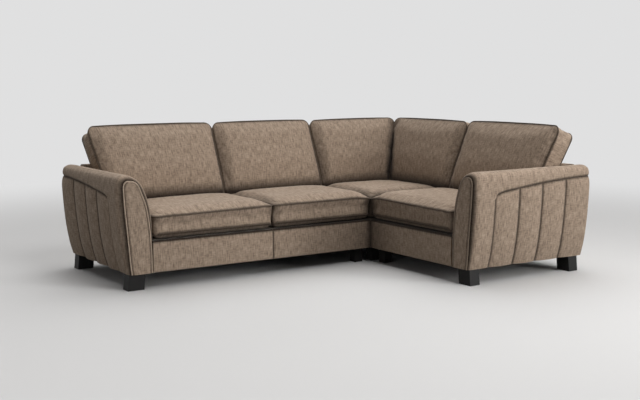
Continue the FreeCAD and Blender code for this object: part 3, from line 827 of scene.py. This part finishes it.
# A thin dark cord paints the shadow in the border's seam
seam_path = [on_long(seam_s, v - 0.5, z) for v, z in profile(
    [(40.0, border_top - 1.0), (2.0, border_top - 1.0), (2.0, border_low), (12.0, border_low)],
    [0, 11.0, 3.0, 0])]
piping_piece("border_seam", [(seam_path, False)], 1.6, (1.0, 0.0, 0.0), "carcass")
print("three borders")

# %% Low backs
back_foot, back_top, deck_top, webbing_z = 686.0, 655.0, 280.0, 252.0
back_low, back_middle, back_start = 94.0, 860.0, 74.5


def slope_v(z):
    return back_foot + lean * (z - deck_top)


def back_piece(name, node, place, s0, end_of):
    """Low back from s0 to end_of(v), which is a plain end or the corner's mitre."""
    line = profile([(slope_v(webbing_z), webbing_z), (slope_v(back_top), back_top), (unit_depth, back_top),
                    (unit_depth, back_low), (unit_depth - 12.0, back_low)], [0, 12.0, 30.0, 5.0, 0])
    count = 90
    rows, marks = [], []
    for share in (k / count for k in range(count + 1)):
        near = min(share, 1.0 - share)
        row = []
        for v, z in line:
            outside = bow((z - back_low) / 500.0) if v > unit_depth - 5.0 else 0.0
            s = s0 + (end_of(v) - s0) * share
            swell = 2.5 * outside * pillow(near * 12.0)
            swell += 0.8 * ruffle(Vector((s, z * 0.4, v)) * mm, 60.0, 9.0)
            row.append(place(s, v + (swell if v > back_middle else -swell), z))
            # Painted shade at both ends of the pad, where it meets the next piece
            marks.append(max(0.0, 1.0 - near * 120.0) * 0.8)
        rows.append(row)
    panels, half = [rows], len(line) // 2
    for row in (rows[0], rows[-1]):
        panels.append(fill_between(thinned(row[:half + 1], 40), thinned(row[half:][::-1], 40), 8))
    centre = place((s0 + end_of(back_middle)) / 2.0, back_middle, 400.0)
    cover_piece(name, node, panels, [marks], centre)


def plain_end(s):
    return lambda v: s


def mitre_end(v):
    return corner_s + v


back_piece("long_back_pad", "long_back_cover", on_long, back_start, plain_end(corner_s))
back_piece("return_back_pad", "return_back_cover", on_return, 0.0, plain_end(return_end - back_start))
back_piece("corner_back_pad_left", "corner_back_cover_left", on_long, corner_s, mitre_end)
back_piece("corner_back_pad_right", "corner_back_cover_right", across_corner, corner_s, mitre_end)
print("four low backs")

# %% Decks and dust covers
def rim_of(rows):
    """The points round the edge of a grid, and the first again."""
    right, left = [row[-1] for row in rows[1:]], [row[0] for row in rows[-2:0:-1]]
    return rows[0] + right + rows[-1][-2::-1] + left + [rows[0][0]]


def slab(name, node, material, sag, fill=None, pitch=30.0, inset=0.5):
    """A soft flat piece in a CAD node's own box, with a slight sag; one sheet if it has no fill."""
    low, high = (Vector(c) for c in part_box(node))
    low += Vector((inset, inset, 0.0)) * mm
    high -= Vector((inset, inset, 0.0)) * mm
    nx = max(4, round((high.x - low.x) / (pitch * mm)))
    ny = max(4, round((high.y - low.y) / (pitch * mm)))

    def at(i, j, level):
        x = low.x + (high.x - low.x) * j / nx
        y = low.y + (high.y - low.y) * i / ny
        dip = pillow(min(i, ny - i) / 3.0) * pillow(min(j, nx - j) / 3.0)
        return Vector((x, y, level - sag * mm * dip * (0.7 + 0.3 * ruffle(Vector((x, y, 0.0)), 130.0))))

    top, bottom = ([[at(i, j, level) for j in range(nx + 1)] for i in range(ny + 1)]
                   for level in (high.z, low.z))
    mesh = weld(cloth_mesh(name, [top, bottom, [rim_of(top), rim_of(bottom)]] if fill else [bottom]))
    return link_piece(name, mesh, material, "carcass", [node])


for unit in ("long", "return", "corner"):
    slab(unit + "_deck_pad", unit + "_deck", deck_cloth, 1.5, fill=0.8)
    sheet = slab(unit + "_dust_sheet", unit + "_dust_cover", dust_cloth, 1.2, inset=1.0)
print("decks and dust covers of three units")

# %% [markdown]
# Elastic webbing carries the deck and the back cushions. Under the seats the straps are woven through each
# other: each goes over one strap and under the next.

# %% Webbing
strap_width, strap_pitch = 60.0, 105.0


def spread(low, high, width):
    """Evenly spaced strips between two edges, no further apart than the pitch."""
    count = max(1, math.ceil((high - low - width) / strap_pitch))
    return [low + (high - low - width) * i / count for i in range(count + 1)]


def strap(point_at, length):
    """Rows across one strap; point_at takes the run along it and the place across it."""
    count = round(length / 15.0)
    return [[point_at(length * k / count, strap_width * j / 4) for j in range(5)] for k in range(count + 1)]


def weave_height(number, run, first, others, way):
    """Height of a strap that goes over one of the others and under the next."""
    step = others[1] - others[0]
    return webbing_z + way * (-1) ** number * math.cos(math.pi * (run - first) / step)


def webbing_piece(name, straps):
    mesh = weld(cloth_mesh(name + "_straps", straps))
    piece = link_piece(name + "_straps", mesh, strap_cloth, "carcass", [name])


board, border_wall, frame_start, frame_back, strap_run = 22.0, 14.0, 161.0, 673.3, 600.0


def seat_webbing(unit, place, s0, s1, v0):
    along = spread(s0 + board, s1 - board, strap_width)
    across = spread(v0 + 62.0, frame_back - board, strap_width)
    middle = strap_width / 2.0
    straps = [strap(lambda run, w, i=i, s=s: place(s + w, v0 + run, weave_height(
        i, v0 + run, across[0] + middle, across, 1)), frame_back - v0) for i, s in enumerate(along)]
    straps += [strap(lambda run, w, j=j, v=v: place(s0 + run, v + w, weave_height(
        j, s0 + run, along[0] + middle, along, -1)), s1 - s0) for j, v in enumerate(across)]
    webbing_piece(unit + "_seat_webbing", straps)


def back_straps(place, s0, end_of):
    """Straps across the low back, 7 mm behind its slope."""
    straps = []
    for low in spread(310.0, 595.0, strap_width * math.cos(rake)):
        def point_at(run, w, low=low):
            z = low + w * math.cos(rake)
            v = slope_v(z) + 7.0 / math.cos(rake)
            return place(s0 + (end_of(v) - s0) * run / strap_run, v, z)
        straps.append(strap(point_at, strap_run))
    return straps


frame_end = return_end - frame_start
seat_webbing("long", on_long, frame_start, corner_s, border_wall)
seat_webbing("return", on_return, 0.0, frame_end, border_wall)
seat_webbing("corner", on_long, corner_s, corner_s + frame_back, 0.0)
for unit, place, s0, s1 in (("long", on_long, frame_start, corner_s), ("return", on_return, 0.0, frame_end)):
    webbing_piece(unit + "_back_webbing", back_straps(place, s0, plain_end(s1)))
webbing_piece("corner_back_webbing", back_straps(on_long, corner_s, mitre_end)
              + back_straps(across_corner, corner_s, mitre_end))
print("six sets of straps")

# %% [markdown]
# ## Loose cushions
# A boxed cushion is two panels joined by a strip, the boxing, with piping in both seams. The panels are
# laid out as grids whose corners are rounded by squeezing the squares of each corner into a quarter disc,
# and the boxing is strung between their edges. Then the cover is really inflated: a short cloth
# simulation blows it up while its seams are held, which gives the soft puckers along the piping.

# %% Lay out a boxed cushion
def rounded(x, y, wide, high, radii):
    """Moves a point of a rectangle so that the corners become round; radii for the four corners."""
    for (corner_x, corner_y), radius in zip(((0, 0), (1, 0), (1, 1), (0, 1)), radii):
        a = 1.0 - (wide - x if corner_x else x) / radius
        b = 1.0 - (high - y if corner_y else y) / radius
        if a > 0.0 and b > 0.0:
            a, b = a * math.sqrt(1.0 - b * b / 2.0), b * math.sqrt(1.0 - a * a / 2.0)
            x = wide - (1.0 - a) * radius if corner_x else (1.0 - a) * radius
            y = high - (1.0 - b) * radius if corner_y else (1.0 - b) * radius
    return x, y


def boxed(name, wide, high, radii, front_at, rear_at, boxing, bulge_at, halo=(0.0, 0.0), pitch=12.0):
    """Mesh of a boxed cushion; front_at and rear_at place a point (x, y) of each panel in the frame, and
    bulge_at says how far the boxing swells beside such a point. Halo is the painted soft shade at the two
    ends, darker towards the bottom."""
    nx, ny, nb = round(wide / pitch), round(high / pitch), round(boxing / pitch)
    verts, faces, coords, marks, held = [], [], [], [], []
    grid = [[rounded(wide * j / nx, high * i / ny, wide, high, radii) for j in range(nx + 1)]
            for i in range(ny + 1)]
    for panel in (front_at, rear_at):
        start = len(verts)
        for i, row in enumerate(grid):
            for j, (x, y) in enumerate(row):
                verts.append(panel(x, y))
                edge = i in (0, ny) or j in (0, nx)
                near = min(x, wide - x, y, high - y)
                # Painted shade: soft at the two ends and darker towards the bottom, and near every edge of a
                # panel
                soft = max(halo[0] * falloff(x, 100.0), halo[1] * falloff(wide - x, 100.0))
                soft *= 1.3 - 0.9 * y / high
                marks.append(min(1.0, max(soft, falloff(near, 16.0) ** 1.4)))
                held.append(1.0 if edge or panel is rear_at else 0.0)
        for corners in squares(ny, nx):
            faces.append([start + a * (nx + 1) + b for a, b in corners])
            coords += [(grid[a][b][0] * mm, grid[a][b][1] * mm) for a, b in corners]
    rim = ([(0, j) for j in range(nx)] + [(i, nx) for i in range(ny)] + [(ny, j) for j in range(nx, 0, -1)]
           + [(i, 0) for i in range(ny, 0, -1)])
    front = [a * (nx + 1) + b for a, b in rim]
    offset = (nx + 1) * (ny + 1)
    count = len(rim)
    bands = [front]
    for k in range(1, nb):
        share = k / nb
        band = []
        for r in range(count):
            a, b = verts[front[r]], verts[front[r] + offset]
            before, after = verts[front[r - 1]], verts[front[(r + 1) % count]]
            out = (after - before).cross(b - a).normalized()
            point = a.lerp(b, share)
            band.append(len(verts))
            swell = bulge_at(*grid[rim[r][0]][rim[r][1]])
            verts.append(point + out * (swell * mm * math.sin(math.pi * share)))
            # Painted shade near both seams of the boxing
            marks.append(falloff(min(share, 1.0 - share) * boxing, 12.0) ** 1.4)
            held.append(0.0)
        bands.append(band)
    bands.append([i + offset for i in front])
    run = steps([verts[i] for i in front + front[:1]])
    for k in range(nb):
        for r in range(count):
            nxt = (r + 1) % count
            faces.append([bands[k][r], bands[k][nxt], bands[k + 1][nxt], bands[k + 1][r]])
            low, up = boxing * mm * k / nb, boxing * mm * (k + 1) / nb
            coords += [(run[r], low), (run[r + 1], low), (run[r + 1], up), (run[r], up)]
    mesh = weld(new_mesh(name, verts, faces, coords, marks), gap=None)
    return mesh, held, [front, [i + offset for i in front]]


# %% Inflate a cushion
last_frame = 20
soft_cover = {"quality": 5, "mass": 0.3, "tension_stiffness": 20.0, "compression_stiffness": 20.0,
              "shear_stiffness": 8.0, "bending_stiffness": 1.0, "shrink_min": -0.02, "use_pressure": True,
              "uniform_pressure_force": 4.0, "vertex_group_mass": "held"}


def inflate(piece, held, cap, limits):
    """Cloth simulation with held seams; no point moves further than cap, nor out of the limits."""
    mesh = piece.data
    before = [v.co.copy() for v in mesh.vertices]
    group = piece.vertex_groups.new(name="held")
    for i, weight in enumerate(held):
        if weight:
            group.add([i], weight, "REPLACE")
    cloth = piece.modifiers.new("cover", "CLOTH")
    for setting, value in soft_cover.items():
        setattr(cloth.settings, setting, value)
    cloth.settings.effector_weights.gravity = 0.0
    cloth.point_cache.frame_start, cloth.point_cache.frame_end = 1, last_frame
    for number in range(1, last_frame + 1):
        bpy.context.scene.frame_set(number)
    shaped = piece.evaluated_get(bpy.context.evaluated_depsgraph_get())
    after = [v.co.copy() for v in shaped.data.vertices]
    piece.modifiers.remove(cloth)
    piece.vertex_groups.clear()
    bpy.context.scene.frame_set(1)
    moved = 0.0
    low, high = limits
    for vertex, old, new in zip(mesh.vertices, before, after):
        step = new - old
        if step.length > cap * mm:
            step *= cap * mm / step.length
        place = old + step
        place = Vector([max(a, min(b, c)) for a, b, c in zip(low, high, place)])
        vertex.co = place
        moved = max(moved, (place - old).length)
    mesh.update()
    return moved


def cushion_piece(name, node, mesh, held, loops, cap, limits, up):
    """The cushion, inflated, and its two rings of piping."""
    piece = add_object(name, mesh)
    moved = inflate(piece, held, cap, limits)
    bpy.data.objects.remove(piece)
    piece = link_piece(name, mesh, chenille, node + "_body", [node])
    subdivide = piece.modifiers.new("smooth", "SUBSURF")
    subdivide.levels = subdivide.render_levels = 1
    rings = [([mesh.vertices[i].co.copy() for i in loop], True) for loop in loops]
    # Both rings are dark cords, whose dark cloth paints the shadow along the piped seams
    piping_piece(name + "_piping", rings, 2.8, up, node + "_body")
    print(name, len(mesh.vertices), "points, moved up to", round(moved * 1000), "mm")
    return piece


# %% [markdown]
# A seat cushion lies flat on the deck, with its lower edge drawn in and its top crowned. The three seats
# along the front rise a little towards the corner, as in the photograph.

# %% Seat cushions
seat_low, seat_front, seat_rear, seat_boxing = 280.6, -6.0, 617.0, 108.0
seat_ceiling = 0.475


def crown(share, edge=4.0, steep=0.5):
    """Height share of a crowned panel across one direction."""
    return max(0.0, 1.0 - abs(2.0 * share - 1.0) ** edge) ** steep


def seat_piece(node, place, s0, s1, v0, piping_left, piping_right, radii, between, under, inner=None,
               rise=32.0):
    """Between says how dark painted shade makes the left, right and front edges where they meet another
    cushion, and how far in it reaches; under says how high the painted shade below the cushion begins and
    ends, and inner where its front edge dips into the inner corner and painted shade darkens it."""
    wide, deep = s1 - s0, seat_rear - v0

    def top_at(x, y):
        edge = piping_left + (piping_right - piping_left) * x / wide
        if inner is not None:
            edge -= 14.0 * falloff(math.hypot(s0 + x - inner, y), 120.0) ** 1.5
        full = crown(x / wide) * crown(y / deep)
        wobble = 1.5 * ruffle(Vector((x, y, s0)) * mm, 90.0, 2.0)
        return place(s0 + x, v0 + y, edge + rise * full + wobble)

    def base_at(x, y):
        sx, sy = x / wide * 2.0 - 1.0, y / deep * 2.0 - 1.0
        near = min(x, wide - x, y, deep - y)
        return place(s0 + x - 4.0 * sx, v0 + y - 13.0 * sy, seat_low + 32.0 * (1.0 - pillow(near / 60.0)))

    def bulge_at(x, y):
        return 3.0 + 11.0 * pillow(min(x, wide - x) / 120.0) if y < 12.0 and v0 < 0.0 else 1.5

    mesh, held, loops = boxed(node + "_cover", wide, deep, radii, top_at, base_at, seat_boxing, bulge_at)
    # Painted shade: little light reaches under the front edge, into the inner corner and between two
    # cushions, so the colour is darkened there
    origin = place(s0, v0, 0.0)
    along, back = toward(place, 1.0, 0.0, 0.0).normalized(), toward(place, 0.0, 1.0, 0.0).normalized()
    for mark, vertex in zip(mesh.attributes["painted_shade"].data, mesh.vertices):
        shade = 0.5 * clamp((under[0] * mm - vertex.co.z) / (under[0] - under[1]) / mm)
        if inner is not None:
            far = (vertex.co - place(inner, 0.0, 350.0)).xy.length
            shade = max(shade, 0.95 * falloff(far, 0.075) * (vertex.co.z < 0.425))
        x, y = (vertex.co - origin).dot(along), (vertex.co - origin).dot(back)
        for far, (strength, reach) in zip((x, wide * mm - x, y), between):
            shade = max(shade, strength * falloff(far, reach * mm) ** 1.4)
        mark.value = max(mark.value, shade)
    corners = [place(s0, v0 - 20.0, 0.0), place(s1, seat_rear + 1.5, 0.0)]
    low = Vector((min(c.x for c in corners), min(c.y for c in corners), seat_low * mm))
    high = Vector((max(c.x for c in corners), max(c.y for c in corners), seat_ceiling))
    return cushion_piece(node + "_cover", node, mesh, held, loops, 12.0, (low, high), (0, 0, 1))


seat_piece("left_seat_cushion", on_long, 163.5, seam_s - 2.5, seat_front, 412.0, 423.0,
           (22.0, 14.0, 20.0, 20.0), ((0.4, 45.0), (0.5, 45.0), (0.0, 45.0)), (330.0, 300.0))
seat_piece("middle_seat_cushion", on_long, seam_s + 2.5, corner_s - 2.5, seat_front, 423.0, 427.0,
           (14.0, 10.0, 24.0, 20.0), ((0.65, 80.0), (0.7, 45.0), (0.0, 45.0)), (332.0, 300.0), corner_s)
seat_piece("corner_seat_cushion", on_long, corner_s + 2.5, corner_s + seat_rear, 2.5, 426.0, 424.0,
           (14.0, 20.0, 20.0, 20.0), ((0.9, 80.0), (0.9, 220.0), (0.9, 80.0)), (345.0, 320.0), corner_s)
seat_piece("right_seat_cushion", on_return, 2.5, 793.5, seat_front, 427.0, 414.0,
           (10.0, 22.0, 20.0, 24.0), ((0.7, 45.0), (0.5, 60.0), (0.0, 45.0)), (332.0, 306.0), 0.0)

# %% [markdown]
# A back cushion stands behind the seats and leans on the low back. Its panels follow a bent profile:
# upright behind the seat, then sloping. The ends of the two outer ones lean over the arms, and the two in
# the corner meet on the diagonal.

# %% Back cushions
back_front, back_rear, knee_z, cushion_top, thick, back_boxing = 621.0, 685.7, 455.0, 900.0, 134.0, 126.0
upright = knee_z - seat_low
sloping = (cushion_top - knee_z) / math.cos(rake)
profile_length = upright + sloping
# Height where the back cushions meet the seats, and how far the painted shade reaches above and below it
contact_z, dark_above, dark_below = 0.438, 0.085, 0.030


def front_line(w):
    """(v, z) of the front panel at a length w up its profile, with a soft bend at the knee."""
    bend = 110.0
    rest = max(0.0, w - upright)
    if abs(w - upright) < bend:
        rest = (w - upright + bend) ** 2 / (4.0 * bend)
    return back_front + rest * math.sin(rake), seat_low + w - rest * (1.0 - math.cos(rake))


def rear_line(w):
    """(v, z) of the straight rear panel."""
    top_v = back_front + sloping * math.sin(rake) + thick * math.cos(rake)
    top_z = cushion_top - thick * math.sin(rake)
    share = w / profile_length
    return back_rear + (top_v - back_rear) * share, seat_low + (top_z - seat_low) * share


def back_cushion_piece(node, place, left_of, right_of, room=(2.0, 2.0), halo=(0.3, 0.3), rounds=(55.0, 55.0),
                       sunk=3.0, rise=44.0):
    """Room is how far the left and the right end may swell past the CAD solid, and sunk how far the top has
    settled."""
    wide = right_of(760.0, 800.0) - left_of(760.0, 800.0)

    def at(line, x, w, push):
        v, z = line(w)
        left, right = left_of(v, z), right_of(v, z)
        side = abs(2.0 * x / wide - 1.0)
        drop = (sunk + 7.0 * side ** 3) * max(0.0, w / profile_length - 0.5) / 0.5
        v -= drop * math.sin(rake)
        z -= drop * math.cos(rake)
        return place(left + (right - left) * x / wide, v - push * math.cos(rake), z + push * math.sin(rake))

    def front_at(x, w):
        share = max(0.0, (w - upright * 0.75) / (profile_length - upright * 0.75))
        foot = 0.5 - 0.5 * math.cos(math.pi * min(1.0, share / 0.5))
        full = crown(x / wide, 3.2, 0.55) * min(crown(share, 3.4, 0.5), foot)
        wobble = 1.6 * ruffle(Vector((x, w, wide)) * mm, 100.0, 6.0)
        return at(front_line, x, w, rise * full + wobble)

    def rear_at(x, w):
        return at(rear_line, x, w, 0.0)

    def bulge_at(x, w):
        return 6.0 if w > profile_length - 60.0 else 3.0

    radii = (14.0, 14.0, rounds[1], rounds[0])
    mesh, held, loops = boxed(node + "_cover", wide, profile_length, radii, front_at, rear_at, back_boxing,
                              bulge_at, halo)
    # Painted shade: the cover is darker where it meets the seat, as little light reaches there
    for mark, vertex in zip(mesh.attributes["painted_shade"].data, mesh.vertices):
        up = vertex.co.z - contact_z
        mark.value = max(mark.value, min(1.0, 1.15 * max(0.0, 1.0 - max(up / dark_above, -up / dark_below))))
    low, high = (Vector(c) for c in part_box(node))
    along, across = toward(place, 1.0, 0.0, 0.0), toward(place, 0.0, -1.0, 0.0)
    for step in (along * room[1], along * -room[0], across * 14.0, across * -4.0):
        low = Vector([a + min(0.0, b) for a, b in zip(low, step)])
        high = Vector([a + max(0.0, b) for a, b in zip(high, step)])
    high.z += 0.014
    up = toward(place, 0.0, -1.0, 0.4)
    return cushion_piece(node + "_cover", node, mesh, held, loops, 14.0, (low, high), up)


def leaning_left(v, z):
    return 158.0 - 0.17 * (z - 400.0)


def leaning_right(v, z):
    return 793.5 + 0.1625 * (z - 400.0)


back_cushion_piece("left_back_cushion", on_long, leaning_left, lambda v, z: 937.5, (16.0, 2.0), (0.3, 0.1),
                   sunk=0.0)
back_cushion_piece("middle_back_cushion", on_long, lambda v, z: 942.5, lambda v, z: 1703.5, (2.0, 2.0),
                   (0.7, 0.1))
back_cushion_piece("corner_back_cushion_left", on_long, lambda v, z: 1708.5,
                   lambda v, z: corner_s + v - 3.5, (2.0, 2.0), (0.9, 1.5), (60.0, 80.0), 9.0)
back_cushion_piece("corner_back_cushion_right", across_corner, lambda v, z: 1641.5,
                   lambda v, z: corner_s + v - 3.5, (2.0, 2.0), (0.65, 1.3), (60.0, 80.0), 9.0)
back_cushion_piece("right_back_cushion", on_return, lambda v, z: 36.5, leaning_right, (2.0, 8.0), (0.1, 0.3))

# %% [markdown]
# ## Feet and hidden parts
# The feet are turned out in near-black lacquered wood: tapered blocks with slightly broken edges. They
# are right in the CAD model, so a small bevel and a finish are enough. The hidden frame is plain pine.

# %% Group: wood grain
grain, given, made = new_group(
    "wood grain", [("Place", "Vector"), ("Light", "Color"), ("Dark", "Color")],
    [("Colour", "Color"), ("Height", "Float")])
stretched = product(grain, given.outputs["Place"], (4.0, 60.0, 60.0))
rings = put(grain, "ShaderNodeTexNoise", Vector=stretched, Scale=1.0, Detail=4.0, Roughness=0.6,
            Distortion=0.6).outputs[0]
shade = mix_colour(grain, rings, given.outputs["Dark"], given.outputs["Light"])
feed(grain, made, Colour=shade, Height=rings)


def wooden(name, light, dark, roughness, shine):
    material, tree, shader = new_material(name)
    place = put(tree, "ShaderNodeTexCoord").outputs["Object"]
    wood = use_group(tree, grain, Place=place, Light=light + (1.0,), Dark=dark + (1.0,))
    relief = put(tree, "ShaderNodeBump", Strength=0.15, Distance=0.001, Height=wood.outputs["Height"])
    feed(tree, shader, Base_Color=wood.outputs["Colour"], Normal=relief.outputs[0], Roughness=roughness,
         Specular_IOR_Level=shine)
    return material


black_wood = wooden("black lacquered wood", (0.014, 0.013, 0.013), (0.007, 0.007, 0.007), 0.5, 0.25)
dark_wood = wooden("dark stained wood", (0.026, 0.024, 0.023), (0.014, 0.013, 0.012), 0.8, 0.1)
pine = wooden("pine rails", (0.66, 0.49, 0.31), (0.48, 0.32, 0.18), 0.7, 0.4)
print("three woods")

# %% Metal finishes
def metal(name, colour, metallic, roughness):
    material, tree, shader = new_material(name)
    place = put(tree, "ShaderNodeTexCoord").outputs["Object"]
    spots = put(tree, "ShaderNodeTexNoise", Vector=place, Scale=180.0, Detail=3.0).outputs[0]
    shade = mix_colour(tree, spots, tuple(c * 0.8 for c in colour) + (1.0,), colour + (1.0,))
    wear = put(tree, "ShaderNodeMapRange", Value=spots, To_Min=roughness - 0.1, To_Max=roughness + 0.1)
    feed(tree, shader, Base_Color=shade, Roughness=wear.outputs[0], Metallic=metallic)
    return material


zinc = metal("zinc plated steel", (0.55, 0.55, 0.56), 1.0, 0.35)
plate_paint = metal("black painted plate", (0.05, 0.05, 0.055), 0.0, 0.5)


def finish_node(name, material, bevel=0.0):
    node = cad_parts[name]
    node.data.materials.clear()
    node.data.materials.append(material)
    if bevel:
        edge = node.modifiers.new("broken edges", "BEVEL")
        edge.width = bevel * mm
        edge.segments = 3
        edge.limit_method = "ANGLE"


finishes = (("support_foot", dark_wood, 2.5), ("_foot", black_wood, 2.5), ("frame", pine, 1.0),
            ("timber", pine, 1.0), ("bolts", zinc, 0.0), ("plates", plate_paint, 0.5))
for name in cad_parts:
    for part, material, bevel in finishes:
        if part in name:
            finish_node(name, material, bevel)
            break
print("CAD nodes finished")
